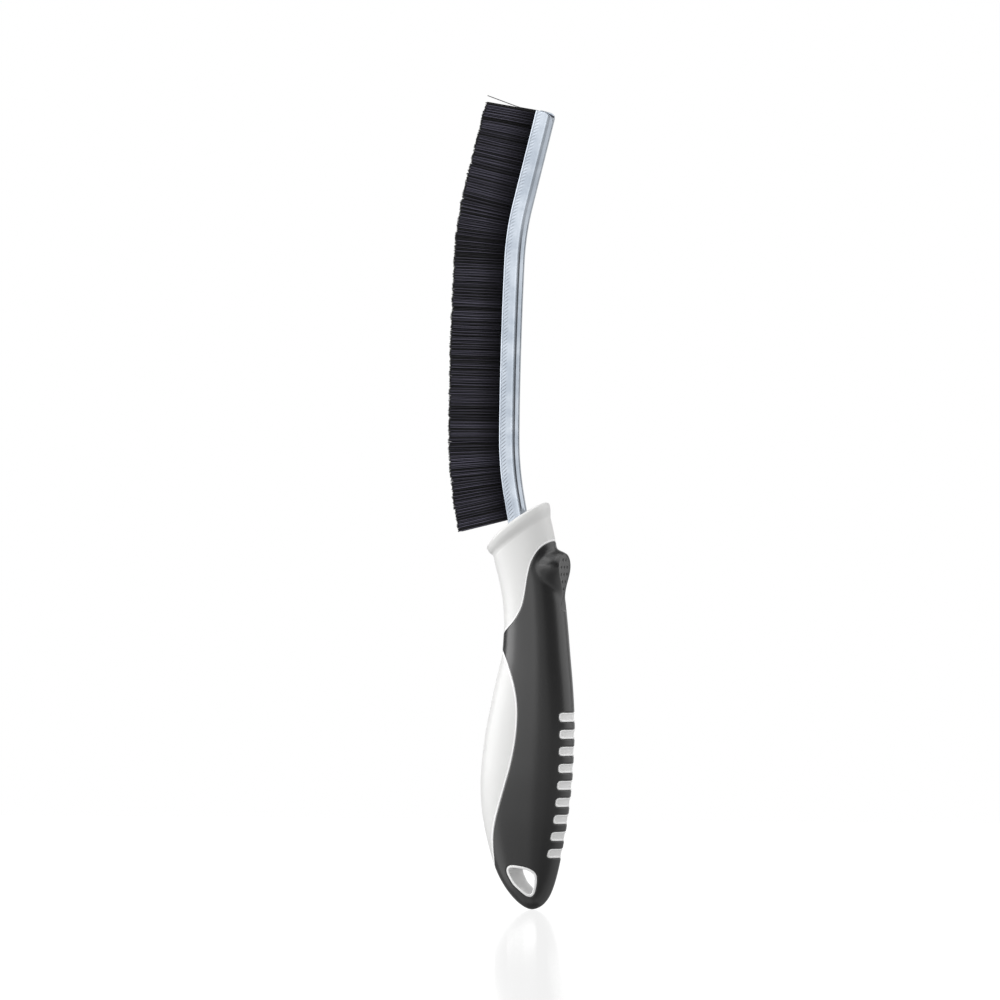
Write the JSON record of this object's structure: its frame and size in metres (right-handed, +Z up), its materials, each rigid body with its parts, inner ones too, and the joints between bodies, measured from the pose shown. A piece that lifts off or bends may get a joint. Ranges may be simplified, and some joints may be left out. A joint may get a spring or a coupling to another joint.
{
  "type": "grout brush",
  "caption": "Narrow cleaning brush for grout and crevices: a long bowed strip of stiff filaments in a folded metal channel, on a soft-grip handle with a hang hole.",
  "frame": {"origin": "centre of the hang hole, midway through the handle's thickness", "axes": "+Z up the brush from the tail to the head, -X the way the filaments point, +X the thumb rest's side, +Y across the narrow width"},
  "size_m": [0.0469, 0.0228, 0.2901],
  "materials": {
    "handle_core": "moulded white polypropylene, smooth",
    "grip": "soft thermoplastic rubber, satin, charcoal black",
    "brush_channel": "galvanised strip, crimped along its mouth",
    "core_wire": "drawn wire",
    "bristles": "black nylon filaments"
  },
  "bodies": {
    "root": {"handle_core": "handle_core", "grip": "grip", "brush_channel": "brush_channel", "core_wire": "core_wire", "bristles": "bristles"}
  },
  "joints": []
}
